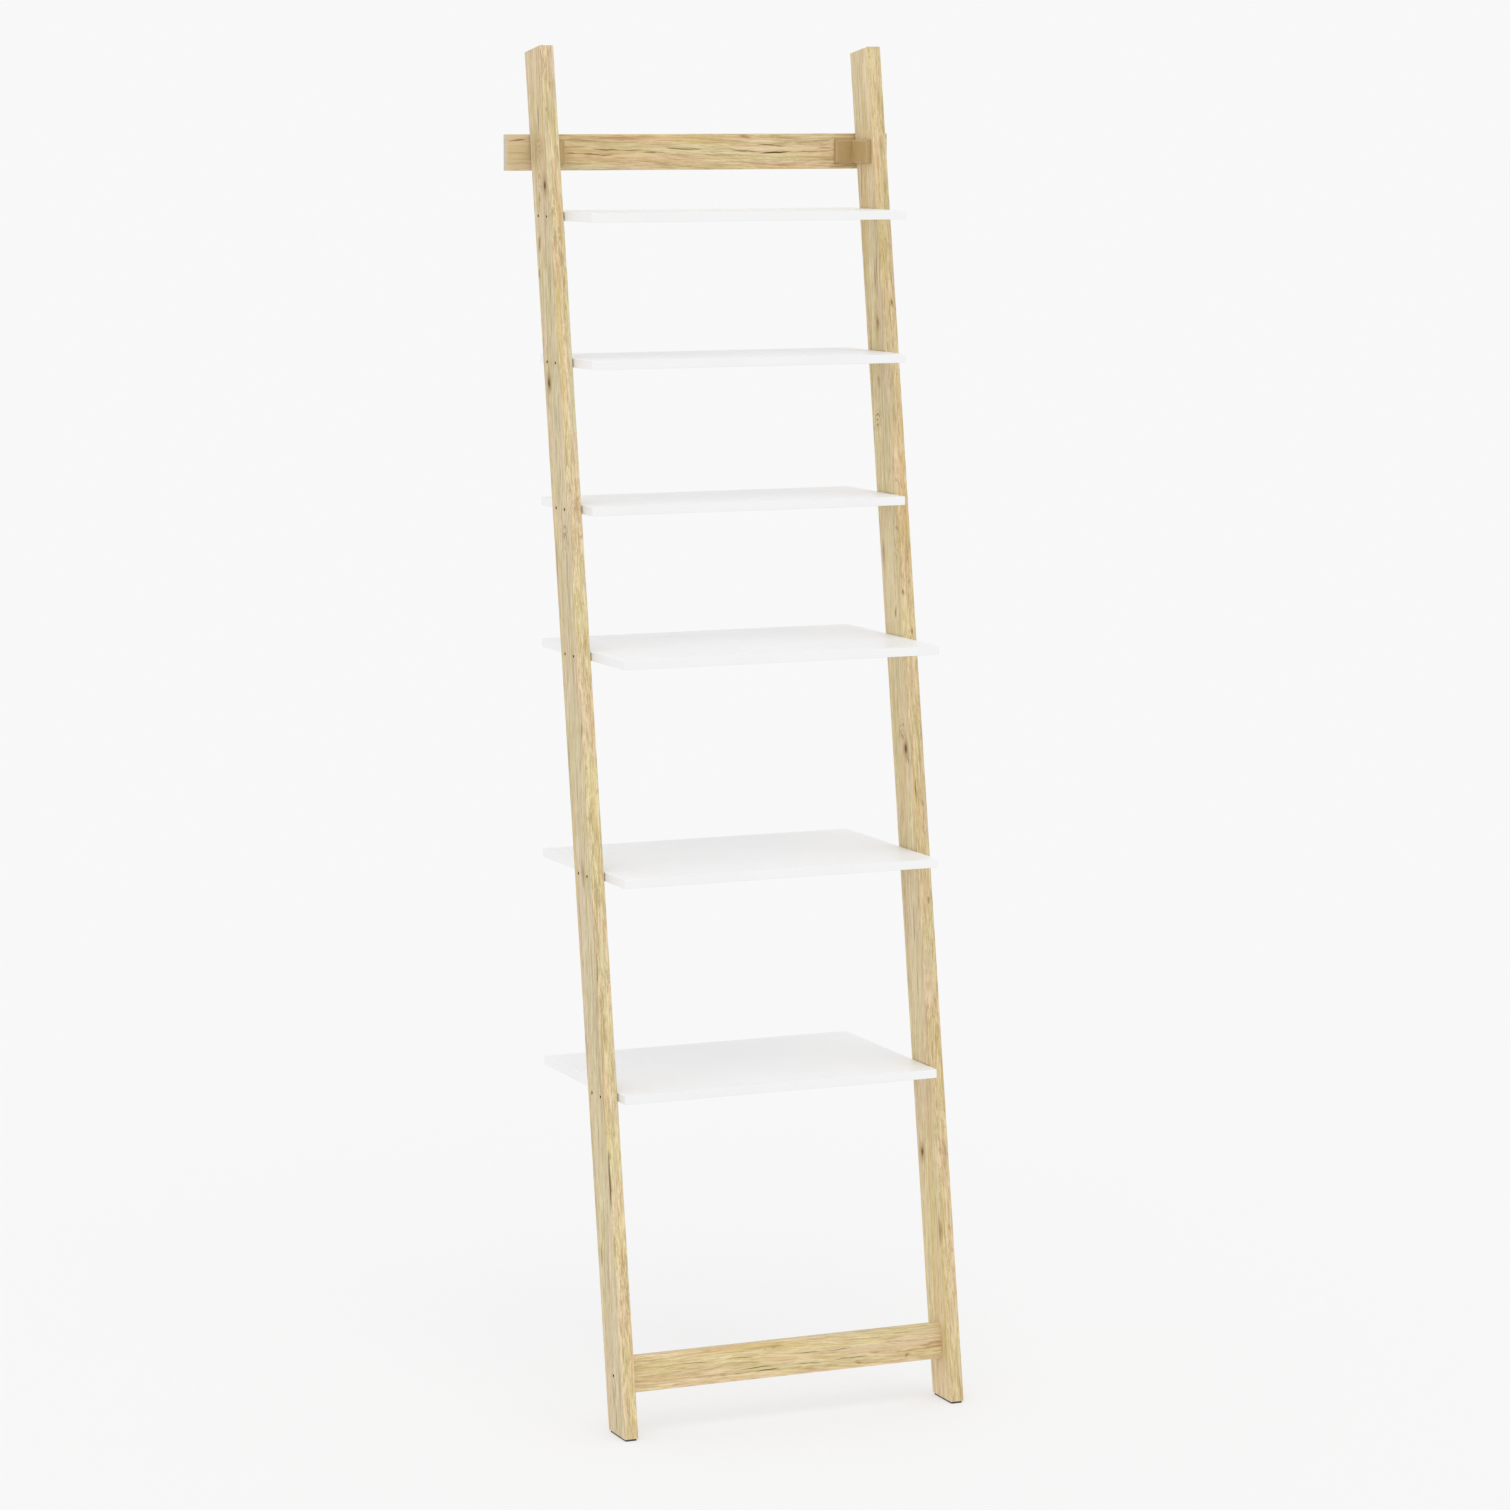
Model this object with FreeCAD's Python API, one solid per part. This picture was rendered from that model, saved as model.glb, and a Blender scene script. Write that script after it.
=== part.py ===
import FreeCAD, Part
import math
import os

# Ladder shelf that leans on a wall: two leaning stiles carry six boards, a lower rail ties their
# feet and a wall rail joins their tops to the wall. Sizes are in millimetres.
#
# +X is to the right of someone facing the shelf, +Y points to the wall and +Z is up. The origin
# is on the floor, midway across the width and midway between the feet's front and the wall.
# Paired pieces are made on the right and mirrored to the left.

Vector = FreeCAD.Vector

# Overall
overall_height = 1900.0
lean_deg = 9.0
inner_width = 476.0          # between the stiles' inner faces

# Stiles
stile_thickness = 20.0       # across the shelf, along X
stile_width = 60.0           # square to the lean
edge_radius = 1.0            # softened edges of the wooden boards

# Shelves, numbered from the top
shelf_thickness = 12.0
shelf_tops = (1672.0, 1472.0, 1272.0, 1072.0, 772.0, 472.0)
shallow_depth = 196.0        # the three upper shelves
deep_depth = 310.0           # the three lower shelves
shallow_count = 3
shelf_gap = 1.5              # at each end, filled by the spacer washers
shelf_edge_radius = 0.8      # of the front edges; the ends and the back are cut square

# Rails
wall_rail_thickness = 15.0
lower_rail_thickness = 20.0
rail_height = 50.0
wall_rail_centre_z = 1752.5
wall_rail_overhang = 32.0    # past each stile's outer face
lower_rail_centre_z = 83.0
wall_hole_radius = 2.6
wall_sink_radius = 5.2

# Furniture screws with a countersunk head and a hexagon socket, and their washers
screw_radius = 2.5
screw_length = 50.0
screw_tip_length = 5.0
screw_tip_radius = 0.8
head_radius = 4.0
head_height = 2.0
head_recess = 0.2            # the head lies this far below the wood
hex_across_flats = 4.0
hex_depth = 1.9
screw_clearance = 0.1        # radial, in every screw hole
hole_end_gap = 1.0           # past a screw's tip
screw_spacing = 32.0         # between the two screws at a shelf's end
washer_radius = 4.5
washer_clearance = 0.2

# Dowels that stop the lower rail from turning on its screws
dowel_radius = 3.0
dowel_length = 30.0
dowel_depth_in_stile = 10.0
dowel_spacing = 32.0
dowel_clearance = 0.05

# Foot pads
pad_thickness = 3.0
pad_inset = 1.5
pad_corner_radius = 3.0

# Corner brackets between the wall rail and the stiles: a base and a clip-on cover
cover_height = 33.0
cover_depth = 8.0            # how far the cover stands off the wood
cover_rail_leg = 31.0
cover_stile_leg = 59.0
cover_wall = 1.8
cover_bevel = 2.6
cover_stand_off = 0.3        # between the cover's rim and the wood
base_thickness = 2.5
base_clearance = 0.3         # between the base's edge and the cover's rim
small_screw_radius = 1.9
small_screw_length = 12.0    # the part in the wood
small_head_radius = 3.6
small_head_height = 2.1
small_slot_width = 1.0
small_slot_depth = 1.1
small_tip_length = 3.0
small_tip_radius = 0.5
rail_leg_screws = ((11.5, -6.0), (23.5, 6.0))      # (distance along the leg, height) from its corner
stile_leg_screws = ((23.0, 6.0), (43.0, -6.0))
face_tolerance = 0.01        # an edge this near a face's plane lies in it

# Derived places
lean = math.radians(lean_deg)
half_inner = inner_width / 2.0
half_outer = half_inner + stile_thickness
stile_depth = stile_width / math.cos(lean)         # measured level, front to back
top_back_z = overall_height - stile_width * math.sin(lean)
overall_depth = (top_back_z - pad_thickness) * math.tan(lean) + stile_depth
wall_y = overall_depth / 2.0
wall_rail_front_y = wall_y - wall_rail_thickness
inwards = Vector(-1, 0, 0)                         # from the right stile's outer face
to_wall = Vector(0, 1, 0)


def stile_back_y(z):
    """Y of the stiles' back edge at height z; their top back corners touch the wall."""
    return wall_y - (top_back_z - z) * math.tan(lean)


def stile_centre_y(z):
    """Y of the middle of the stiles' depth at height z."""
    return stile_back_y(z) - stile_depth / 2.0


def mirrored(shape):
    """The same piece on the left of the shelf."""
    return shape.mirror(Vector(0, 0, 0), inwards)


def block(low, high):
    """A box between two opposite corners."""
    size = [high[i] - low[i] for i in range(3)]
    return Part.makeBox(size[0], size[1], size[2], Vector(*low))


def rounded(solid, radius, chosen=None):
    """The solid with its edges, or only the chosen ones, rounded."""
    edges = [edge for edge in solid.Edges if chosen is None or chosen(edge)]
    return solid.makeFillet(radius, edges)


def shelf_depth(index):
    """Depth of a shelf, counted from 0 at the top."""
    return shallow_depth if index < shallow_count else deep_depth


def shelf_screw_places():
    """(y, z) of the two screws at each shelf's end, in the middle of the shelf's thickness."""
    places = []
    for top in shelf_tops:
        z = top - shelf_thickness / 2.0
        for side in (-1, 1):
            places.append((stile_centre_y(z) + side * screw_spacing / 2.0, z))
    return places


def lower_rail_screw_place():
    """(y, z) of the screw at each end of the lower rail."""
    return (stile_centre_y(lower_rail_centre_z), lower_rail_centre_z)


def dowel_places():
    """(y, z) of the dowels at each end of the lower rail, above and below its screw."""
    y, z = lower_rail_screw_place()
    offset = dowel_spacing / 2.0
    return [(y + side * offset * math.sin(lean), z + side * offset * math.cos(lean)) for side in (-1, 1)]


def furniture_screw(y, z):
    """A screw driven inwards through the right stile, its head just below the outer face."""
    start = Vector(half_outer - head_recess, y, z)
    shank_length = screw_length - screw_tip_length
    head = Part.makeCone(head_radius, screw_radius, head_height, start, inwards)
    shank = Part.makeCylinder(screw_radius, shank_length, start, inwards)
    tip_start = start + inwards * shank_length
    tip = Part.makeCone(screw_radius, screw_tip_radius, screw_tip_length, tip_start, inwards)
    socket = hex_prism(start, hex_across_flats, hex_depth)
    return head.fuse([shank, tip]).removeSplitter().cut(socket)


def furniture_screw_hole(y, z):
    """The countersunk hole that a furniture screw needs, clear of it all round."""
    mouth_start = Vector(half_outer, y, z)
    sink_start = mouth_start + inwards * head_recess
    bore_radius = screw_radius + screw_clearance
    mouth_radius = head_radius + screw_clearance
    mouth = Part.makeCylinder(mouth_radius, head_recess, mouth_start, inwards)
    sink = Part.makeCone(mouth_radius, bore_radius, head_height, sink_start, inwards)
    bore = Part.makeCylinder(bore_radius, screw_length + hole_end_gap, mouth_start, inwards)
    return bore.fuse([mouth, sink]).removeSplitter()


def hex_prism(start, across_flats, depth):
    """A hexagonal prism that runs inwards, towards -X, from a point."""
    corner = across_flats / math.sqrt(3.0)
    points = []
    for step in range(7):
        turn = math.radians(60.0 * step)
        points.append(start + Vector(0, corner * math.cos(turn), corner * math.sin(turn)))
    return Part.Face(Part.makePolygon(points)).extrude(inwards * depth)


def dowel(y, z, clearance=0.0):
    """A dowel across the joint between the right stile and the lower rail, or its hole."""
    start = Vector(half_inner + dowel_depth_in_stile + clearance, y, z)
    length = dowel_length + 2.0 * clearance
    return Part.makeCylinder(dowel_radius + clearance, length, start, inwards)


def right_stile():
    """A board that leans to the wall, with a level foot and a square-cut top."""
    foot_z = pad_thickness
    back = stile_back_y(foot_z)
    top_front_y = wall_y - stile_width * math.cos(lean)
    outline = [
        Vector(half_inner, back - stile_depth, foot_z),
        Vector(half_inner, back, foot_z),
        Vector(half_inner, wall_y, top_back_z),
        Vector(half_inner, top_front_y, overall_height),
    ]
    face = Part.Face(Part.makePolygon(outline + outline[:1]))
    board = face.extrude(Vector(stile_thickness, 0, 0))
    board = rounded(board, edge_radius, lambda edge: edge.BoundBox.ZMax > foot_z + edge_radius)
    holes = [furniture_screw_hole(y, z) for y, z in shelf_screw_places()]
    holes.append(furniture_screw_hole(*lower_rail_screw_place()))
    holes += [dowel(y, z, dowel_clearance) for y, z in dowel_places()]
    holes += [small_screw_hole(*place) for place in bracket_screw_places()]
    return board.cut(holes)


def shelf(index):
    """A board with its square back edge at the wall, softened front edges and two screw holes in
    each end."""
    half_length = half_inner - shelf_gap
    top = shelf_tops[index]
    low = (-half_length, wall_y - shelf_depth(index), top - shelf_thickness)
    board = block(low, (half_length, wall_y, top))
    board = rounded(board, shelf_edge_radius, lambda edge: edge.BoundBox.YMax < low[1] + shelf_edge_radius)
    right_holes = [furniture_screw_hole(y, z) for y, z in shelf_screw_places() if low[2] < z < top]
    return board.cut(right_holes + [mirrored(hole) for hole in right_holes])


def wall_rail():
    """The board on the wall, with two wall holes that the stiles hide and pilots for the brackets."""
    half_length = half_outer + wall_rail_overhang
    low = (-half_length, wall_rail_front_y, wall_rail_centre_z - rail_height / 2.0)
    high = (half_length, wall_y, wall_rail_centre_z + rail_height / 2.0)
    board = rounded(block(low, high), edge_radius)
    hole_x = half_inner + stile_thickness / 2.0
    front = Vector(hole_x, wall_rail_front_y, wall_rail_centre_z)
    hole = Part.makeCylinder(wall_hole_radius, wall_rail_thickness, front, to_wall)
    sink_depth = wall_sink_radius - wall_hole_radius
    sink = Part.makeCone(wall_sink_radius, wall_hole_radius, sink_depth, front, to_wall)
    cuts = [hole.fuse(sink)]
    cuts += [small_screw_hole(*place) for place in bracket_screw_places()]
    return board.cut(cuts + [mirrored(cut) for cut in cuts])


def lower_rail():
    """The board between the stiles' feet, which leans as they do and sits midway in their depth."""
    y, z = lower_rail_screw_place()
    low = (-half_inner, y - lower_rail_thickness / 2.0, z - rail_height / 2.0)
    high = (half_inner, y + lower_rail_thickness / 2.0, z + rail_height / 2.0)
    board = rounded(block(low, high), edge_radius, lambda edge: edge.BoundBox.XLength > rail_height)
    board.rotate(Vector(0, y, z), Vector(1, 0, 0), -lean_deg)
    right_holes = [furniture_screw_hole(y, z)]
    right_holes += [dowel(*place, dowel_clearance) for place in dowel_places()]
    return board.cut(right_holes + [mirrored(hole) for hole in right_holes])


def washer(y, z):
    """A spacer washer between the right stile and a shelf's end."""
    start = Vector(half_inner, y, z)
    disc = Part.makeCylinder(washer_radius, shelf_gap, start, inwards)
    return disc.cut(Part.makeCylinder(screw_radius + washer_clearance, shelf_gap, start, inwards))


def foot_pad():
    """The pad under the right stile's foot, a little inside its outline."""
    back = stile_back_y(pad_thickness) - pad_inset
    low = (half_inner + pad_inset, back - stile_depth + 2.0 * pad_inset, 0.0)
    high = (half_outer - pad_inset, back, pad_thickness)
    pad = block(low, high)
    return rounded(pad, pad_corner_radius, lambda edge: edge.BoundBox.ZLength > pad_thickness / 2.0)


def bracket_point(along, off, height):
    """A point given by its distances from the right stile's inner face, the wall rail's front face
    and the wall rail's middle height."""
    return Vector(half_inner - along, wall_rail_front_y - off, wall_rail_centre_z + height)


def corner_prism(rail_leg, stile_leg, thickness, height, stand_off=0.0):
    """An L-shaped prism in the corner between the wall rail and the right stile."""
    corners = [
        (stand_off, stand_off),
        (rail_leg, stand_off),
        (rail_leg, thickness),
        (thickness, thickness),
        (thickness, stile_leg),
        (stand_off, stile_leg),
    ]
    points = [bracket_point(along, off, -height / 2.0) for along, off in corners]
    return Part.Face(Part.makePolygon(points + points[:1])).extrude(Vector(0, 0, height))


def bracket_screw_places():
    """(point on the wood, direction into the wood) of the four screws of the right bracket."""
    to_stile = inwards * -1
    places = [(bracket_point(along, 0, height), to_wall) for along, height in rail_leg_screws]
    places += [(bracket_point(0, off, height), to_stile) for off, height in stile_leg_screws]
    return places


def small_screw(on_wood, into_wood):
    """A slotted pan-head screw through the bracket's base."""
    under_head = on_wood - into_wood * base_thickness
    shank_length = base_thickness + small_screw_length - small_tip_length
    shank = Part.makeCylinder(small_screw_radius, shank_length, under_head, into_wood)
    tip_start = under_head + into_wood * shank_length
    tip = Part.makeCone(small_screw_radius, small_tip_radius, small_tip_length, tip_start, into_wood)
    dome = Part.makeSphere(dome_radius(), under_head + into_wood * (dome_radius() - small_head_height))
    disc = Part.makeCylinder(small_head_radius, small_head_height, under_head, into_wood * -1)
    head = disc.common(dome)
    return head.fuse([shank, tip]).removeSplitter().cut(driver_slot(under_head, into_wood))


def dome_radius():
    """Radius of the sphere that rounds a small screw's head down to half its height at the rim."""
    drop = small_head_height / 2.0
    return (small_head_radius ** 2 + drop ** 2) / (2.0 * drop)


def driver_slot(under_head, into_wood):
    """The level slot across a small screw's head."""
    across = Vector(abs(into_wood.y), abs(into_wood.x), 0)
    reach = across * small_head_radius + Vector(0, 0, small_slot_width / 2.0)
    head_top = under_head - into_wood * small_head_height
    return block(head_top - reach, head_top + reach + into_wood * small_slot_depth)


def small_screw_hole(on_wood, into_wood):
    """The hole that a small screw needs in the bracket's base and in the wood."""
    radius = small_screw_radius + screw_clearance
    length = base_thickness + small_screw_length + hole_end_gap
    return Part.makeCylinder(radius, length, on_wood - into_wood * base_thickness, into_wood)


def bracket_base():
    """The right bracket's base: an L-shaped plate, screwed to the wall rail and to the stile."""
    inner_height = cover_height - 2.0 * cover_wall
    plate = corner_prism(cover_rail_leg - cover_wall - base_clearance,
                         cover_stile_leg - cover_wall - base_clearance,
                         base_thickness,
                         inner_height - 2.0 * base_clearance)
    return plate.cut([small_screw_hole(*place) for place in bracket_screw_places()])


def bracket_cover():
    """The right bracket's cover: an L-shaped shell with bevelled edges that hides the screws."""
    outer = corner_prism(cover_rail_leg, cover_stile_leg, cover_depth, cover_height, cover_stand_off)
    outer = outer.makeChamfer(cover_bevel, [edge for edge in outer.Edges if is_show_edge(edge)])
    cavity_height = cover_height - 2.0 * cover_wall
    cavity = corner_prism(cover_rail_leg - cover_wall,
                          cover_stile_leg - cover_wall,
                          cover_depth - cover_wall,
                          cavity_height)
    return outer.cut(cavity)


def is_show_edge(edge):
    """True for the edges of the cover's two faces that look into the room, but not their shared corner."""
    rail_face_y = wall_rail_front_y - cover_depth
    stile_face_x = half_inner - cover_depth
    box = edge.BoundBox
    on_rail_face = abs(box.YMax - rail_face_y) + abs(box.YMin - rail_face_y) < face_tolerance
    on_stile_face = abs(box.XMax - stile_face_x) + abs(box.XMin - stile_face_x) < face_tolerance
    return on_rail_face != on_stile_face


def add_pair(name, shape):
    """Keep a piece of the right side and its mirror image."""
    pieces["right_" + name] = shape
    pieces["left_" + name] = mirrored(shape)


pieces = {"wall_rail": wall_rail(), "lower_rail": lower_rail()}
for number in range(len(shelf_tops)):
    pieces["shelf_%d" % (number + 1)] = shelf(number)
add_pair("stile", right_stile())
add_pair("foot_pad", foot_pad())
add_pair("shelf_screws", Part.makeCompound([furniture_screw(y, z) for y, z in shelf_screw_places()]))
add_pair("shelf_washers", Part.makeCompound([washer(y, z) for y, z in shelf_screw_places()]))
add_pair("lower_rail_screw", furniture_screw(*lower_rail_screw_place()))
add_pair("lower_rail_dowels", Part.makeCompound([dowel(y, z) for y, z in dowel_places()]))
add_pair("bracket_base", bracket_base())
add_pair("bracket_cover", bracket_cover())
add_pair("bracket_screws", Part.makeCompound([small_screw(*place) for place in bracket_screw_places()]))

os.makedirs("parts", exist_ok=True)
for name, shape in pieces.items():
    shape.exportStep("parts/%s.step" % name)
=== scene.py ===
import math

import bpy
from mathutils import Matrix, Vector


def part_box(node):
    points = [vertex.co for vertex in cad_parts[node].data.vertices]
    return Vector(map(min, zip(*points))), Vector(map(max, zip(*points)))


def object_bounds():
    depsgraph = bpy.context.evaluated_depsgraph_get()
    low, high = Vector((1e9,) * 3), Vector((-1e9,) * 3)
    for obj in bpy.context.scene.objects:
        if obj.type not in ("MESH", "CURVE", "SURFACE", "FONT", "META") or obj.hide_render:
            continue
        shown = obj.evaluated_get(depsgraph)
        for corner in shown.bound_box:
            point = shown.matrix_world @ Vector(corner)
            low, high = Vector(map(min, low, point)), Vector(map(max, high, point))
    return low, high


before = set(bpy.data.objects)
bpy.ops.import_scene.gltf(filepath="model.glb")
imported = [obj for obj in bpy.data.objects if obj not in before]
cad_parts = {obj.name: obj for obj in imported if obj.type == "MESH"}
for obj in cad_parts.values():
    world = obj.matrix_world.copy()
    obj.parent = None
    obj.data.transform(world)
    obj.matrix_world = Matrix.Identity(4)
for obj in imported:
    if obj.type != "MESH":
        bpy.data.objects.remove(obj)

# Looks of a ladder shelf: oak-look boards, white laminated shelves, tan corner covers, screws and
# foot pads. Lengths are in metres, in the frame's axes: +X right, +Y to the wall, +Z up.

cad_low, cad_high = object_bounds()

LEAN = math.radians(9.0)                 # of the stiles and the lower rail
STILE_HALF_WIDTH = 0.030
STILE_HALF_THICKNESS = 0.010
RAIL_HALF_WIDTH = 0.025
WALL_RAIL_HALF_THICKNESS = 0.0075
LOWER_RAIL_HALF_THICKNESS = 0.010
EDGE_BAND = 0.0012                       # thickness of the band on a shelf's front edge
SEAM_HALF_WIDTH = 0.00025                # of the line between that band and the shelf's face
COVER_EDGE_SHADE_REACH = 0.0015                # how far the painted shade on the rounded edges of the tan covers reaches
SOCKET_SHADE_DEPTH = 0.0022                       # depth of the painted shade in a screw's socket, below the head's face, just past the floor of the socket

# Camera, at the shelf's left front
VIEW_PLACE = Vector((-2.6920, -6.2384, 1.8421))
VIEW_YAW = math.radians(23.445)
VIEW_PITCH = math.radians(7.766)
VIEW_ROLL = math.radians(0.046)
LENS_MM = 116.67
SENSOR_MM = 36.0

# Light and stage
SKY_RADIANCE = 0.94
FLOOR_ALBEDO = 0.441
DUSTY_FLOOR_ALBEDO = 0.4344
FLOOR_GLOW = 0.469
FLOOR_RADIUS = 200.0
SOFTBOX = {"direction": (0.10, 0.55, -1.0), "strength": 0.42, "angle_deg": 50.0}
LEFT_FILL = {"direction": (1.0, 0.35, -0.25), "strength": 0.12, "angle_deg": 90.0}

# Wood colours: early to late wood, marks, tints and end grain
PALE_OAK = (0.78, 0.655, 0.43)
MID_OAK = (0.655, 0.525, 0.305)
DARK_OAK = (0.43, 0.315, 0.155)
GREY_OAK = (0.60, 0.525, 0.375)
HONEY_OAK = (0.70, 0.495, 0.215)
STAIN_BROWN = (0.36, 0.215, 0.075)
RIPPLE_BROWN = (0.29, 0.19, 0.075)
KNOT_BROWN = (0.075, 0.042, 0.018)
CRACK_BROWN = (0.105, 0.062, 0.024)
OLIVE_TINT = (0.965, 1.005, 0.93)
ROSE_TINT = (1.02, 0.985, 1.04)
END_PALE = (0.66, 0.58, 0.43)
END_DARK = (0.55, 0.47, 0.33)

# Tints of each board's broad and narrow faces
LEFT_STILE_TONES = ((1.0, 1.02, 1.07), (1.09, 1.08, 1.06))
RIGHT_STILE_TONES = ((1.09, 1.085, 1.07), (1.02, 0.98, 0.92))
WALL_RAIL_TONES = ((1.02, 0.99, 0.95), (1.0, 1.0, 1.0))
LOWER_RAIL_TONES = ((1.06, 1.02, 0.96), (1.0, 1.0, 1.0))

# Patterns in the wood: periods per metre along the grain and across it, and a shift that sets it apart
WANDER = (3.0, 12.0, 1.0)
WAVES = (14.0, 60.0, 2.0)
FINE_STREAKS = (24.0, 470.0, 3.0)
MIDDLE_STREAKS = (6.0, 240.0, 5.0)
BROAD_STREAKS = (2.0, 48.0, 7.0)
HUES = (2.6, 75.0, 11.0)
LATE_WOOD = (4.0, 120.0, 13.0)
LATE_WOOD_AREAS = (10.0, 70.0, 17.0)
PORES = (45.0, 1100.0, 19.0)
RAGGED_OUTLINE = (55.0, 330.0, 23.0)
CRACK_WAVER = (30.0, 25.0, 29.0)
CRACK_GAPS = (60.0, 40.0, 31.0)
RUBBED_EDGES = (18.0, 90.0, 37.0)
TINT_PATCHES = (9.0, 70.0, 41.0)
ARC_GAPS = (120.0, 160.0, 43.0)
END_GRAIN = (0.0, 260.0, 700.0)          # periods per metre along, across and through the board

# How far patterns push the grain and the marks' outlines about, in metres
WANDER_REACH = 0.020
WAVE_REACH = 0.0016
RAGGED_REACH = (0.012, 0.0060)           # along and across
CRACK_WAVER_REACH = 0.0045
RIPPLE_RAGGEDNESS = (0.6, 0.45, 0.3)     # share of the ragged outline's push that a ripple takes

# Radians of a knot's rings and of a ripple's arcs, from its middle to its outline
KNOT_RINGS = 11.0
RIPPLE_ARCS = 34.0

# Colours of the other materials
LAMINATE_WHITE = (0.895, 0.895, 0.90)
LAMINATE_SHADE = (0.875, 0.875, 0.885)
SEAM_GREY = (0.55, 0.54, 0.53)
TAN_DEEP = (0.47, 0.325, 0.145)
TAN_LIGHT = (0.52, 0.365, 0.165)
TAN_SPECK = (0.34, 0.23, 0.095)
# Painted shade on the rounded edges of the tan covers
TAN_EDGE_SHADE = (0.385, 0.262, 0.115)
ZINC_DEEP = (0.62, 0.49, 0.29)
ZINC_LIGHT = (0.80, 0.67, 0.44)
# Painted shade inside the screw sockets
SOCKET_SHADE = (0.012, 0.010, 0.008)
RUBBER_GREY = (0.045, 0.043, 0.042)
RUBBER_DUST = (0.13, 0.125, 0.12)
# Near-black washer colours: painted shade of the gaps between the shelf ends and the stiles
NYLON_GAP_SHADE_DEEP = (0.035, 0.033, 0.03)
NYLON_GAP_SHADE_LIGHT = (0.07, 0.066, 0.06)
BEECH_LIGHT = (0.62, 0.43, 0.25)
BEECH_DEEP = (0.48, 0.31, 0.17)


class Shader:
    """One material's nodes. Each method adds a node and returns its output."""

    def __init__(self, name):
        self.material = bpy.data.materials.new(name)
        self.material.use_nodes = True
        self.nodes = self.material.node_tree.nodes
        self.links = self.material.node_tree.links
        self.surface = self.nodes["Principled BSDF"]

    def add(self, kind, inputs=(), **settings):
        node = self.nodes.new(kind)
        for name, value in settings.items():
            setattr(node, name, value)
        for index, value in inputs:
            self.put(node.inputs[index], value)
        return node

    def put(self, socket, value):
        """Links an output to a socket, or sets the socket's own value."""
        if isinstance(value, bpy.types.NodeSocket):
            self.links.new(value, socket)
        elif hasattr(value, "__len__") and socket.type == "RGBA" and len(value) == 3:
            socket.default_value = (*value, 1.0)
        else:
            socket.default_value = value

    def set(self, **values):
        """Sets or links the surface shader's sockets, named with _ for spaces."""
        for name, value in values.items():
            self.put(self.surface.inputs[name.replace("_", " ")], value)

    def math(self, operation, a, b=0.0, clamp=False):
        return self.add("ShaderNodeMath", [(0, a), (1, b)], operation=operation, use_clamp=clamp).outputs[0]

    def vector(self, operation, a, b=(0.0, 0.0, 0.0)):
        node = self.add("ShaderNodeVectorMath", [(0, a), (1, b)], operation=operation)
        return node.outputs["Value" if operation in ("DOT_PRODUCT", "LENGTH") else "Vector"]

    def combine(self, x, y, z):
        return self.add("ShaderNodeCombineXYZ", [(0, x), (1, y), (2, z)]).outputs[0]

    def noise(self, vector, scale=1.0, detail=2.0, roughness=0.5, distortion=0.0):
        inputs = [("Vector", vector), ("Scale", scale), ("Detail", detail)]
        inputs += [("Roughness", roughness), ("Distortion", distortion)]
        return self.add("ShaderNodeTexNoise", inputs).outputs["Fac"]

    def fade(self, value, start, end, low=0.0, high=1.0):
        """Goes smoothly from low to high as the value goes from start to end."""
        inputs = [("Value", value), ("From Min", start), ("From Max", end), ("To Min", low), ("To Max", high)]
        return self.add("ShaderNodeMapRange", inputs, interpolation_type="SMOOTHSTEP").outputs[0]

    def mix(self, factor, a, b, blend="MIX"):
        """Mixes two colours."""
        node = self.add("ShaderNodeMix", data_type="RGBA", blend_type=blend, clamp_factor=True)
        self.put(node.inputs[0], factor)
        self.put(node.inputs[6], a)
        self.put(node.inputs[7], b)
        return node.outputs[2]

    def bump(self, height, strength, distance):
        inputs = [("Strength", strength), ("Distance", distance), ("Height", height)]
        return self.add("ShaderNodeBump", inputs).outputs[0]

    def place(self):
        """The point in the frame's axes, at rest."""
        return self.add("ShaderNodeTexCoord").outputs["Object"]

    def normal(self):
        return self.add("ShaderNodeTexCoord").outputs["Normal"]


def board_axes(node):
    """Unit vectors of a board: along its grain, across its broad face and through its thickness."""
    upright = Vector((0.0, math.sin(LEAN), math.cos(LEAN)))
    level = Vector((0.0, math.cos(LEAN), -math.sin(LEAN)))
    side = Vector((1.0, 0.0, 0.0))
    if node.endswith("stile"):
        return upright, level, side
    if node == "lower_rail":
        return side, upright, level
    return side, Vector((0.0, 0.0, 1.0)), Vector((0.0, 1.0, 0.0))


class Mark:
    """A knot, stain, pale zone, ripple, crack or split of a board, on its broad or its narrow front face.

    It lies `along` the board from its middle and `off` the face's middle line, reaches `length` and
    `width` from its own middle, and is turned by `tilt` in the face. A crack is broken by gaps and a
    split isn't.
    """

    def __init__(self, kind, along, off, length, width, tilt=0.0, strength=1.0, face="broad"):
        self.kind = kind
        self.along = along
        self.off = off
        self.length = length
        self.width = width
        self.tilt = tilt
        self.strength = strength
        self.face = face

    def distance(self, shader, point, half_width, half_thickness, depth=0.006):
        """How far the point is from the mark's middle. 1 is its outline, and it is `depth` deep."""
        if self.face == "broad":
            place = (self.along, self.off, -half_thickness)
            turn = (0.0, 0.0, self.tilt)
            reach = (self.length, self.width, depth)
        else:
            place = (self.along, -half_width, self.off)
            turn = (0.0, -self.tilt, 0.0)
            reach = (self.length, depth, self.width)
        inputs = [("Vector", point), ("Location", place), ("Rotation", turn), ("Scale", reach)]
        mapping = shader.add("ShaderNodeMapping", inputs, vector_type="TEXTURE")
        return shader.vector("LENGTH", mapping.outputs[0])


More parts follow.
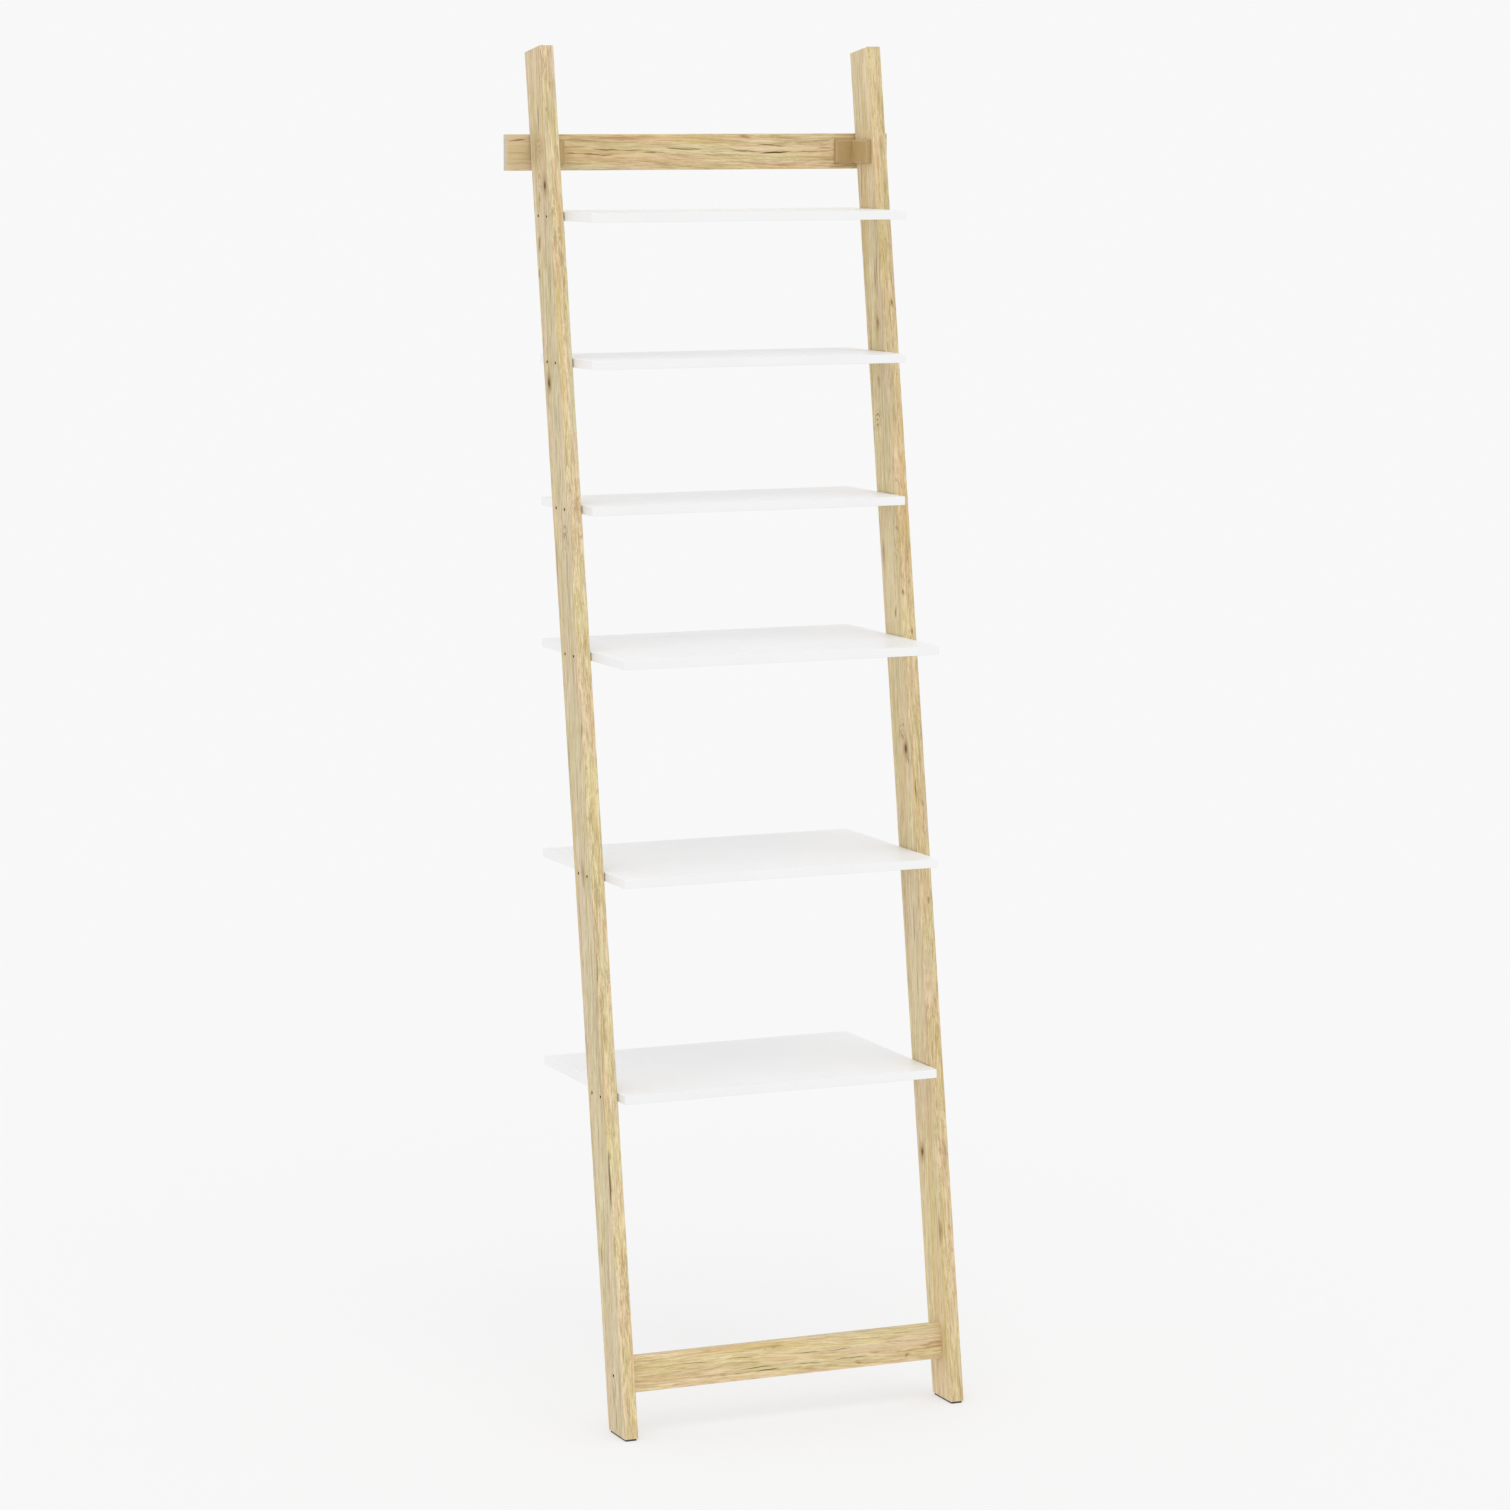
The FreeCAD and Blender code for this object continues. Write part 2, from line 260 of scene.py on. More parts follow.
class Oak(Shader):
    """Material of one oak-look board, whose places are (along, across, through) from its middle.

    The grain runs at a small `slope` to the board, and `contrast` says how strongly it shows.
    """

    def __init__(self, node, half_width, half_thickness, seed, slope, contrast, marks):
        super().__init__("oak_" + node)
        self.seed = seed
        self.slope = slope
        self.contrast = contrast
        self.marks = marks
        self.half_width = half_width
        self.half_thickness = half_thickness
        low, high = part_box(node)
        offset = self.vector("SUBTRACT", self.place(), (low + high) / 2.0)
        self.axes = board_axes(node)
        self.along, self.across, self.through = [self.vector("DOT_PRODUCT", offset, a) for a in self.axes]
        self.point = self.combine(self.along, self.across, self.through)
        self.bent = self.bend_grain()

    def field(self, point, pattern, detail=2.0, roughness=0.5):
        """Noise of one of the wood's patterns."""
        lengthwise, crosswise, shift = pattern
        scaled = self.vector("MULTIPLY", point, (lengthwise, crosswise, crosswise))
        moved = self.vector("ADD", scaled, (self.seed + shift, self.seed * 1.7 - shift, shift * 2.3))
        return self.noise(moved, detail=detail, roughness=roughness)

    def signed(self, noise, size):
        """Noise about zero, with this size from its lowest to its highest."""
        return self.math("MULTIPLY", self.math("SUBTRACT", noise, 0.5), size)

    def bend_grain(self):
        """The grain wanders a little and closes round each knot."""
        across = self.math("ADD", self.across, self.math("MULTIPLY", self.along, self.slope))
        across = self.math("ADD", across, self.signed(self.field(self.point, WANDER), WANDER_REACH))
        waves = self.signed(self.field(self.point, WAVES), WAVE_REACH)
        across = self.math("ADD", across, waves)
        for mark in self.marks:
            if mark.kind == "knot" and mark.face == "broad":
                around = Mark("bend", mark.along, mark.off, 3.6 * mark.length, 3.2 * mark.width)
                distance = around.distance(self, self.point, self.half_width, self.half_thickness, 0.015)
                pull = self.fade(distance, 1.0, 0.1, 0.0, 0.80)
                away = self.math("SUBTRACT", mark.off + mark.along * self.slope, across)
                across = self.math("ADD", across, self.math("MULTIPLY", away, pull))
        return self.combine(self.along, across, self.math("ADD", self.through, waves))

    def grain_colour(self):
        """Streaks of three widths, patches of other hues, thin late-wood lines and short open pores."""
        fine = self.field(self.bent, FINE_STREAKS, detail=3.0, roughness=0.8)
        middle = self.field(self.bent, MIDDLE_STREAKS)
        broad = self.field(self.bent, BROAD_STREAKS)
        shade = self.math("ADD", self.signed(fine, 3.2), self.signed(middle, 1.3))
        shade = self.math("MULTIPLY", self.math("ADD", shade, self.signed(broad, 0.75)), self.contrast)
        colour = self.mix(self.fade(shade, -0.42, 0.05), PALE_OAK, MID_OAK)
        colour = self.mix(self.fade(shade, 0.02, 0.62, 0.0, 0.85), colour, DARK_OAK)
        hue = self.field(self.bent, HUES)
        colour = self.mix(self.fade(hue, 0.52, 0.74, 0.0, 0.55), colour, HONEY_OAK)
        colour = self.mix(self.fade(hue, 0.48, 0.28, 0.0, 0.55), colour, GREY_OAK)
        patches = self.fade(self.field(self.bent, TINT_PATCHES), 0.36, 0.64)
        colour = self.mix(1.0, colour, self.mix(patches, OLIVE_TINT, ROSE_TINT), "MULTIPLY")
        contour = self.math("ABSOLUTE", self.signed(self.field(self.bent, LATE_WOOD, detail=1.0), 1.0))
        where = self.field(self.bent, LATE_WOOD_AREAS, detail=1.0)
        late = self.math("MULTIPLY", self.fade(contour, 0.016, 0.0), self.fade(where, 0.40, 0.60, 0.0, 0.65))
        colour = self.mix(self.math("MULTIPLY", late, self.contrast), colour, DARK_OAK)
        self.pores = self.fade(self.field(self.bent, PORES, detail=1.0), 0.60, 0.70)
        colour = self.mix(self.math("MULTIPLY", self.pores, 0.60), colour, DARK_OAK)
        self.fibres = fine
        return colour

    def knot(self, mark, colour):
        """Ragged dark eye in a soft brown halo with rings. Returns the colour and the eye."""
        distance = mark.distance(self, self.ragged, self.half_width, self.half_thickness)
        halo = self.fade(distance, 2.9, 0.7, 0.0, 0.70 * mark.strength)
        colour = self.mix(halo, colour, STAIN_BROWN)
        wave = self.math("SINE", self.math("MULTIPLY", distance, KNOT_RINGS))
        near = self.math("MULTIPLY", self.fade(distance, 3.2, 1.4), self.fade(distance, 0.8, 1.2))
        strength = self.math("MULTIPLY", near, 0.50 * mark.strength)
        rings = self.math("MULTIPLY", self.fade(wave, 0.0, 0.9), strength)
        colour = self.mix(rings, colour, DARK_OAK)
        eye = self.fade(distance, 1.25, 0.25, 0.0, 0.92 * mark.strength)
        eye = self.math("MULTIPLY", eye, self.fade(self.fibres, 0.25, 0.50, 0.65, 1.0))
        return self.mix(eye, colour, KNOT_BROWN), eye

    def ripple(self, mark, colour):
        """Broken arcs across the grain, nested and all bulging upwards."""
        start = mark.along - 0.6 * mark.length
        nest = Mark("nest", start, mark.off, 1.6 * mark.length, 1.3 * mark.width, mark.tilt)
        distance = nest.distance(self, self.jittered, self.half_width, self.half_thickness)
        wave = self.math("SINE", self.math("MULTIPLY", distance, RIPPLE_ARCS))
        inside = self.math("MULTIPLY", self.fade(distance, 1.05, 0.8), mark.strength)
        ahead = self.fade(self.along, mark.along - 0.4 * mark.length, mark.along + 0.1 * mark.length)
        broken = self.fade(self.field(self.point, ARC_GAPS, detail=1.0), 0.38, 0.56)
        arcs = self.math("MULTIPLY", self.fade(wave, 0.0, 0.9), self.math("MULTIPLY", inside, broken))
        return self.mix(self.math("MULTIPLY", arcs, ahead), colour, RIPPLE_BROWN)

    def stain(self, mark, colour):
        """Soft brown patch whose edge follows the grain."""
        distance = mark.distance(self, self.ragged, self.half_width, self.half_thickness)
        patch = self.fade(distance, 1.3, 0.3, 0.0, 0.95 * mark.strength)
        streaked = self.math("MULTIPLY", patch, self.fade(self.fibres, 0.30, 0.60, 0.45, 1.0))
        return self.mix(streaked, colour, STAIN_BROWN)

    def pale_zone(self, mark, colour):
        """Wide paler zone with a very soft outline."""
        distance = mark.distance(self, self.point, self.half_width, self.half_thickness, 0.05)
        return self.mix(self.fade(distance, 1.2, 0.4, 0.0, mark.strength), colour, PALE_OAK)

    def line(self, mark):
        """How far the wood is open along a crack or split, from 0 to 1."""
        distance = mark.distance(self, self.wavy, self.half_width, self.half_thickness)
        return self.fade(distance, 1.0, 0.5, 0.0, mark.strength)

    def push_outlines(self):
        """Points pushed about by patterns, so that marks get ragged outlines and cracks waver."""
        rough = self.signed(self.field(self.point, RAGGED_OUTLINE), 1.0)
        along_push, across_push = [self.math("MULTIPLY", rough, reach) for reach in RAGGED_REACH]
        push = self.combine(along_push, across_push, 0.0)
        self.ragged = self.vector("ADD", self.point, push)
        small_push = self.vector("MULTIPLY", push, RIPPLE_RAGGEDNESS)
        self.jittered = self.vector("ADD", self.point, small_push)
        waver = self.signed(self.field(self.point, CRACK_WAVER), CRACK_WAVER_REACH)
        self.wavy = self.vector("ADD", self.point, self.combine(0.0, waver, 0.0))

    def marked(self, colour):
        """Lays the board's own marks over the grain."""
        self.push_outlines()
        gaps = self.fade(self.field(self.point, CRACK_GAPS, detail=1.0), 0.34, 0.50, 0.50, 1.0)
        self.hollow = self.pores
        cracks = 0.0
        splits = 0.0
        for mark in self.marks:
            if mark.kind == "stain":
                colour = self.stain(mark, colour)
            elif mark.kind == "pale":
                colour = self.pale_zone(mark, colour)
            elif mark.kind == "ripple":
                colour = self.ripple(mark, colour)
            elif mark.kind == "knot":
                colour, eye = self.knot(mark, colour)
                self.hollow = self.math("MAXIMUM", self.hollow, eye)
            elif mark.kind == "split":
                splits = self.math("MAXIMUM", splits, self.line(mark))
            else:
                cracks = self.math("MAXIMUM", cracks, self.line(mark))
        open_lines = self.math("MAXIMUM", self.math("MULTIPLY", cracks, gaps), splits)
        self.hollow = self.math("MAXIMUM", self.hollow, open_lines)
        return self.mix(open_lines, colour, CRACK_BROWN)

    def facing(self, axis):
        """1 where the surface faces along the axis or against it, and 0 where it stands square to it."""
        return self.math("ABSOLUTE", self.vector("DOT_PRODUCT", self.normal(), axis))

    def worn(self, colour):
        """The long edges are rubbed paler in places, and the ends show short pale end grain."""
        side_gap = self.math("SUBTRACT", self.half_width, self.math("ABSOLUTE", self.across))
        face_gap = self.math("SUBTRACT", self.half_thickness, self.math("ABSOLUTE", self.through))
        edge = self.fade(self.math("MAXIMUM", side_gap, face_gap), 0.0016, 0.0004)
        rubbed = self.fade(self.field(self.point, RUBBED_EDGES, detail=3.0), 0.45, 0.66, 0.0, 0.55)
        colour = self.mix(self.math("MULTIPLY", edge, rubbed), colour, PALE_OAK)
        rings = self.noise(self.vector("MULTIPLY", self.point, END_GRAIN), detail=3.0)
        end_wood = self.mix(self.fade(rings, 0.35, 0.65), END_PALE, END_DARK)
        return self.mix(self.fade(self.facing(self.axes[0]), 0.6, 0.9), colour, end_wood)

    def finish(self, broad_tone, narrow_tone):
        """Puts the layers together. The tones tint the broad and the narrow faces."""
        colour = self.worn(self.marked(self.grain_colour()))
        broadness = self.fade(self.facing(self.axes[2]), 0.3, 0.8)
        colour = self.mix(1.0, colour, self.mix(broadness, narrow_tone, broad_tone), "MULTIPLY")
        sheen = self.fade(self.fibres, 0.3, 0.7, 0.46, 0.62)
        roughness = self.math("ADD", sheen, self.math("MULTIPLY", self.hollow, 0.2))
        height = self.math("SUBTRACT", self.math("MULTIPLY", self.fibres, 0.5), self.hollow)
        self.set(Base_Color=colour, Roughness=roughness, Normal=self.bump(height, 0.4, 0.0003))
        self.set(IOR=1.45, Specular_IOR_Level=0.35)
        return self.material


def white_laminate(node, seed):
    """White laminated board with a banded front edge."""
    shader = Shader("laminate_" + node)
    front_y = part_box(node)[0].y
    point = shader.vector("ADD", shader.place(), (seed, seed * 2.0, 0.0))
    clouds = shader.noise(point, scale=7.0, detail=3.0)
    peel = shader.noise(point, scale=900.0, detail=2.0)
    rubbed = shader.noise(shader.vector("MULTIPLY", point, (3.0, 60.0, 60.0)), detail=3.0)
    colour = shader.mix(shader.fade(clouds, 0.3, 0.7), LAMINATE_SHADE, LAMINATE_WHITE)
    y = shader.vector("DOT_PRODUCT", shader.place(), (0.0, 1.0, 0.0))
    behind_front = shader.math("SUBTRACT", y, front_y)
    off_seam = shader.math("ABSOLUTE", shader.math("SUBTRACT", behind_front, EDGE_BAND))
    seam = shader.fade(off_seam, SEAM_HALF_WIDTH, 0.0, 0.0, 0.35)
    colour = shader.mix(seam, colour, SEAM_GREY)
    roughness = shader.math("ADD", shader.fade(rubbed, 0.35, 0.7, 0.36, 0.46), seam)
    height = shader.math("SUBTRACT", shader.math("MULTIPLY", peel, 0.5), seam)
    shader.set(Base_Color=colour, Roughness=roughness, Normal=shader.bump(height, 0.12, 0.0002))
    shader.set(IOR=1.5, Specular_IOR_Level=0.4)
    return shader.material


def tan_plastic():
    """Moulded plastic of the bracket covers and bases: fine spark-eroded texture, with painted shade
    darkening the rounded edges.
    """
    shader = Shader("bracket_plastic")
    point = shader.place()
    grain = shader.noise(point, scale=2600.0, detail=3.0, roughness=0.7)
    clouds = shader.noise(point, scale=90.0, detail=2.0)
    colour = shader.mix(clouds, TAN_DEEP, TAN_LIGHT)
    colour = shader.mix(shader.fade(grain, 0.35, 0.7, 0.0, 0.14), colour, TAN_SPECK)
    # Painted shade: the rounded edges, found by the bevel normal leaving the sharp one, are darkened
    rounded = shader.add("ShaderNodeBevel", [("Radius", COVER_EDGE_SHADE_REACH)], samples=6).outputs[0]
    sharp = shader.add("ShaderNodeNewGeometry").outputs["Normal"]
    flatness = shader.vector("DOT_PRODUCT", rounded, sharp)
    colour = shader.mix(shader.fade(flatness, 0.999, 0.93, 0.0, 0.60), colour, TAN_EDGE_SHADE)
    shader.set(Base_Color=colour, Roughness=shader.fade(grain, 0.3, 0.7, 0.44, 0.60))
    shader.set(Normal=shader.bump(grain, 0.25, 0.00012), IOR=1.48)
    return shader.material


def zinc_steel(node):
    """Slightly yellow zinc with turning marks. The sockets of the furniture screws get painted shade, near
    black like the shade in their recesses.
    """
    shader = Shader("zinc_" + node)
    point = shader.place()
    marks = shader.noise(shader.vector("MULTIPLY", point, (3000.0, 500.0, 500.0)), detail=2.0)
    stains = shader.noise(point, scale=420.0, detail=3.0)
    colour = shader.mix(stains, ZINC_DEEP, ZINC_LIGHT)
    if not node.endswith("bracket_screws"):
        low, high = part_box(node)
        face_x, inward = (low.x, 1.0) if node.startswith("left") else (high.x, -1.0)
        x = shader.vector("DOT_PRODUCT", point, (inward, 0.0, 0.0))
        depth = shader.math("SUBTRACT", x, inward * face_x)
        # Painted shade: points below the head's face, down to the socket's floor, turn near black
        below_face = shader.fade(depth, 0.0001, 0.0004)
        above_end = shader.fade(depth, SOCKET_SHADE_DEPTH + 0.0001, SOCKET_SHADE_DEPTH - 0.0001)
        colour = shader.mix(shader.math("MULTIPLY", below_face, above_end), colour, SOCKET_SHADE)
    shader.set(Base_Color=colour, Metallic=1.0, Roughness=shader.fade(marks, 0.3, 0.7, 0.40, 0.58))
    shader.set(Normal=shader.bump(marks, 0.15, 0.00005))
    return shader.material


def pad_rubber():
    """Dark grey rubber of the foot pads, dusty in patches."""
    shader = Shader("pad_rubber")
    point = shader.place()
    grain = shader.noise(point, scale=1500.0, detail=3.0)
    dust = shader.noise(point, scale=140.0, detail=3.0)
    colour = shader.mix(shader.fade(dust, 0.35, 0.75, 0.0, 0.6), RUBBER_GREY, RUBBER_DUST)
    shader.set(Base_Color=colour, Roughness=shader.fade(dust, 0.3, 0.7, 0.68, 0.86))
    shader.set(Normal=shader.bump(grain, 0.3, 0.0001), IOR=1.52)
    return shader.material


def dark_nylon():
    """Nylon of the spacer washers, whose near-black colour is painted shade of the gaps between the shelf
    ends and the stiles.
    """
    shader = Shader("dark_nylon")
    grain = shader.noise(shader.place(), scale=1800.0, detail=2.0)
    # Painted shade: the washers are kept near black so the gaps read dark
    colour = shader.mix(grain, NYLON_GAP_SHADE_DEEP, NYLON_GAP_SHADE_LIGHT)
    shader.set(Base_Color=colour, Roughness=shader.fade(grain, 0.3, 0.7, 0.42, 0.6))
    shader.set(Normal=shader.bump(grain, 0.2, 0.00008), IOR=1.53)
    return shader.material


def beech():
    """Beech of the dowels, whose grain runs along X."""
    shader = Shader("beech")
    rays = shader.noise(shader.vector("MULTIPLY", shader.place(), (90.0, 1400.0, 1400.0)), detail=3.0)
    colour = shader.mix(shader.fade(rays, 0.35, 0.7), BEECH_LIGHT, BEECH_DEEP)
    shader.set(Base_Color=colour, Roughness=shader.fade(rays, 0.3, 0.7, 0.55, 0.7))
    shader.set(Normal=shader.bump(rays, 0.3, 0.0001), IOR=1.45)
    return shader.material


def dress(node, material):
    """Gives a CAD node its material."""
    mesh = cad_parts[node].data
    if not mesh.materials:
        mesh.materials.append(material)
    for index in range(len(mesh.materials)):
        mesh.materials[index] = material


def floor_material():
    """Pale matt sheet that glows a little, like a light table, so that shadows on it stay faint."""
    shader = Shader("studio_floor")
    mottle = shader.noise(shader.place(), scale=3.0, detail=2.0)
    pale = (FLOOR_ALBEDO, FLOOR_ALBEDO, FLOOR_ALBEDO)
    dusty = (DUSTY_FLOOR_ALBEDO, DUSTY_FLOOR_ALBEDO, DUSTY_FLOOR_ALBEDO)
    colour = shader.mix(shader.fade(mottle, 0.3, 0.7, 0.0, 0.1), pale, dusty)
    shader.set(Base_Color=colour, Roughness=0.9, Specular_IOR_Level=0.0)
    shader.set(Emission_Color=(1.0, 1.0, 1.0), Emission_Strength=FLOOR_GLOW)
    return shader.material


def make_floor():
    mesh = bpy.data.meshes.new("floor")
    r = FLOOR_RADIUS
    z = cad_low.z
    mesh.from_pydata([(-r, -r, z), (r, -r, z), (r, r, z), (-r, r, z)], [], [(0, 1, 2, 3)])
    floor = bpy.data.objects.new("floor", mesh)
    bpy.context.scene.collection.objects.link(floor)
    mesh.materials.append(floor_material())


def make_sky():
    world = bpy.data.worlds.new("studio")
    bpy.context.scene.world = world
    world.use_nodes = True
    background = world.node_tree.nodes["Background"]
    background.inputs["Color"].default_value = (SKY_RADIANCE, SKY_RADIANCE, SKY_RADIANCE, 1.0)
    background.inputs["Strength"].default_value = 1.0


def make_sun(name, direction, strength, angle_deg):
    """A broad soft light that shines along the direction."""
    light = bpy.data.lights.new(name, "SUN")
    light.energy = strength
    light.angle = math.radians(angle_deg)
    lamp = bpy.data.objects.new(name, light)
    lamp.rotation_euler = Vector(direction).to_track_quat("-Z", "Y").to_euler()
    bpy.context.scene.collection.objects.link(lamp)


def make_camera():
    turn = Matrix.Rotation(-VIEW_YAW, 4, "Z")
    tip = Matrix.Rotation(math.pi / 2.0 - VIEW_PITCH, 4, "X")
    roll = Matrix.Rotation(VIEW_ROLL, 4, "Z")
    aim = turn @ tip @ roll
    data = bpy.data.cameras.new("camera")
    data.lens = LENS_MM
    data.sensor_width = SENSOR_MM
    data.clip_end = 2.0 * FLOOR_RADIUS
    camera = bpy.data.objects.new("camera", data)
    camera.matrix_world = Matrix.Translation(VIEW_PLACE) @ aim
    bpy.context.scene.collection.objects.link(camera)
    bpy.context.scene.camera = camera


def left_stile_marks():
    """Outer broad face, with across to the wall, then the front face, with across to the right."""
    return [
        Mark("stain", 0.815, 0.004, 0.026, 0.020, strength=0.45),
        Mark("ripple", 0.812, -0.004, 0.026, 0.014, strength=0.6),
        Mark("ripple", 0.752, 0.002, 0.020, 0.012, strength=0.6),
        Mark("knot", 0.764, -0.016, 0.0080, 0.0042),
        Mark("knot", 0.494, 0.014, 0.0080, 0.0048),
        Mark("ripple", 0.270, -0.012, 0.034, 0.011, strength=1.0),
        Mark("stain", 0.747, 0.008, 0.009, 0.0030, -0.50, 1.1),
        Mark("stain", 0.779, 0.002, 0.006, 0.0030, 0.40, 1.0),
        Mark("stain", -0.188, 0.000, 0.024, 0.006, strength=0.7),
        Mark("stain", -0.175, -0.004, 0.030, 0.002, -0.08, 0.5),
        Mark("stain", -0.714, 0.0165, 0.018, 0.003, -0.10, 1.3),
        Mark("stain", -0.690, 0.002, 0.060, 0.003, -0.10, 0.5),
        Mark("stain", 0.688, 0.018, 0.012, 0.004, -0.25, 1.3),
        Mark("stain", 0.648, 0.024, 0.009, 0.004, strength=1.3),
        Mark("stain", 0.852, -0.005, 0.020, 0.003, -0.10, 0.6),
        Mark("split", -0.940, -0.0015, 0.026, 0.0010, -0.06, 0.75),
        Mark("split", -0.897, -0.0045, 0.022, 0.0009, -0.03, 0.7),
        Mark("crack", -0.540, 0.0000, 0.030, 0.0009, -0.08, 0.7),
        Mark("split", -0.388, -0.0070, 0.024, 0.0009, -0.08, 0.7),
        Mark("split", 0.440, -0.0062, 0.028, 0.0010, -0.07, 0.7),
        Mark("crack", 0.630, -0.0140, 0.030, 0.0010, -0.07, 0.7),
        Mark("crack", 0.862, -0.0070, 0.022, 0.0012, -0.10, 0.7),
        Mark("crack", 0.245, 0.0250, 0.040, 0.0012, -0.07, 0.8),
        Mark("split", -0.602, -0.0286, 0.044, 0.0010, strength=0.8),
        Mark("crack", -0.640, -0.0270, 0.022, 0.0012, -0.07, 0.8),
        Mark("stain", -0.712, 0.002, 0.024, 0.0026, strength=0.55, face="front"),
        Mark("stain", -0.150, 0.003, 0.045, 0.0030, strength=0.55, face="front"),
        Mark("stain", 0.132, 0.003, 0.022, 0.0028, strength=0.60, face="front"),
        Mark("stain", 0.690, 0.004, 0.080, 0.0030, strength=0.50, face="front"),
        Mark("stain", 0.890, 0.003, 0.110, 0.0040, strength=0.30, face="front"),
        Mark("split", -0.610, -0.0088, 0.050, 0.0012, 0.01, 0.85, "front"),
        Mark("crack", -0.318, -0.0086, 0.024, 0.0010, 0.03, 0.7, "front"),
        Mark("crack", 0.015, -0.0092, 0.018, 0.0010, 0.04, 0.7, "front"),
    ]


def right_stile_marks():
    """Inner broad face, with across to the wall, then the front face, with across to the right."""
    return [
        Mark("pale", 0.190, 0.003, 0.140, 0.026, strength=0.42),
        Mark("pale", -0.360, 0.003, 0.120, 0.026, strength=0.22),
        Mark("knot", -0.613, 0.015, 0.0072, 0.0042),
        Mark("knot", -0.040, -0.013, 0.0075, 0.0048),
        Mark("ripple", -0.020, -0.002, 0.024, 0.011, -0.15, 1.0),
        Mark("stain", -0.021, -0.004, 0.006, 0.0030, 0.50, 1.1),
        Mark("stain", -0.056, -0.019, 0.007, 0.0025, 0.30, 1.0),
        Mark("ripple", -0.055, -0.018, 0.014, 0.008, strength=0.6),
        Mark("knot", 0.567, -0.007, 0.0044, 0.0026, strength=0.9),
        Mark("stain", 0.572, -0.005, 0.028, 0.007, -0.05, 0.6),
        Mark("stain", 0.632, -0.010, 0.030, 0.005, -0.07, 0.8),
        Mark("stain", -0.722, -0.027, 0.026, 0.004, strength=0.9),
        Mark("stain", 0.235, 0.021, 0.026, 0.005, strength=0.8),
        Mark("stain", 0.483, 0.001, 0.010, 0.004, strength=1.0),
        Mark("stain", 0.155, -0.008, 0.010, 0.003, -0.20, 1.3),
        Mark("stain", 0.200, -0.011, 0.030, 0.002, -0.05, 0.6),
        Mark("ripple", 0.235, -0.024, 0.060, 0.013, -0.05, 0.8),
        Mark("ripple", 0.422, 0.015, 0.026, 0.012, -0.10, 0.9),
        Mark("split", -0.290, -0.0042, 0.036, 0.0010, -0.06, 0.85),
        Mark("crack", -0.370, -0.0040, 0.030, 0.0008, -0.05, 0.7),
        Mark("split", 0.770, 0.0175, 0.034, 0.0009, -0.11, 0.75),
        Mark("crack", 0.768, 0.0070, 0.016, 0.0009, -0.06, 0.7),
        Mark("split", 0.655, 0.0250, 0.060, 0.0008, -0.08, 0.55),
        Mark("split", 0.890, 0.0100, 0.056, 0.0008, -0.06, 0.6),
        Mark("crack", 0.640, -0.0150, 0.050, 0.0009, -0.04, 0.7),
        Mark("stain", -0.719, 0.0035, 0.0060, 0.0018, strength=0.9, face="front"),
        Mark("stain", -0.255, 0.0035, 0.0060, 0.0020, strength=0.9, face="front"),
        Mark("stain", -0.120, 0.0035, 0.0075, 0.0016, strength=0.7, face="front"),
        Mark("knot", 0.126, 0.0035, 0.0028, 0.0012, strength=0.8, face="front"),
        Mark("knot", 0.182, -0.0070, 0.0024, 0.0012, strength=0.8, face="front"),
        Mark("knot", 0.592, 0.0035, 0.0030, 0.0013, strength=0.8, face="front"),
        Mark("stain", 0.240, 0.004, 0.050, 0.0040, strength=0.5, face="front"),
        Mark("stain", -0.610, 0.003, 0.050, 0.0040, strength=0.4, face="front"),
        Mark("stain", 0.750, 0.004, 0.030, 0.0026, strength=0.4, face="front"),
        Mark("stain", -0.545, -0.004, 0.010, 0.0016, strength=0.8, face="front"),
        Mark("crack", -0.100, -0.0060, 0.024, 0.0009, strength=0.8, face="front"),
    ]


def wall_rail_marks():
    """Front face, with along to the right and across up."""
    return [
        Mark("pale", -0.278, 0.0000, 0.040, 0.080, strength=0.38),
        Mark("stain", -0.135, 0.0175, 0.060, 0.006, strength=0.35),
        Mark("stain", -0.110, 0.0205, 0.050, 0.0020, strength=0.5),
        Mark("stain", 0.068, 0.0215, 0.014, 0.0018, -0.10, 0.9),
        Mark("stain", 0.110, 0.0215, 0.018, 0.0026, strength=0.5),
        Mark("crack", 0.108, 0.0086, 0.024, 0.0011, -0.08, 0.8),
        Mark("crack", -0.276, 0.0170, 0.016, 0.0011, 0.10, 0.9),
        Mark("crack", -0.188, -0.0022, 0.022, 0.0009, -0.03, 0.9),
        Mark("split", -0.168, -0.0030, 0.012, 0.0011, -0.03, 0.9),
        Mark("crack", -0.148, -0.0040, 0.020, 0.0009, -0.02, 0.9),
        Mark("crack", -0.142, 0.0034, 0.026, 0.0010, -0.03, 0.9),
        Mark("crack", -0.105, 0.0026, 0.024, 0.0007, 0.02, 0.7),
        Mark("crack", -0.068, -0.0002, 0.022, 0.0010, -0.02, 0.9),
        Mark("crack", -0.032, -0.0042, 0.018, 0.0009, -0.06, 0.8),
        Mark("split", -0.030, 0.0042, 0.026, 0.0009, -0.05, 0.8),
        Mark("crack", -0.008, 0.0036, 0.012, 0.0008, -0.03, 0.8),
        Mark("crack", 0.018, -0.0005, 0.028, 0.0007, strength=0.6),
        Mark("split", 0.068, 0.0008, 0.026, 0.0009, -0.03, 0.75),
        Mark("split", 0.115, -0.0018, 0.028, 0.0015, 0.03, 1.0),
        Mark("crack", 0.172, -0.0004, 0.034, 0.0007, strength=0.75),
        Mark("crack", 0.192, 0.0050, 0.014, 0.0008, strength=0.7),
        Mark("crack", 0.186, 0.0155, 0.020, 0.0007, strength=0.6),
    ]


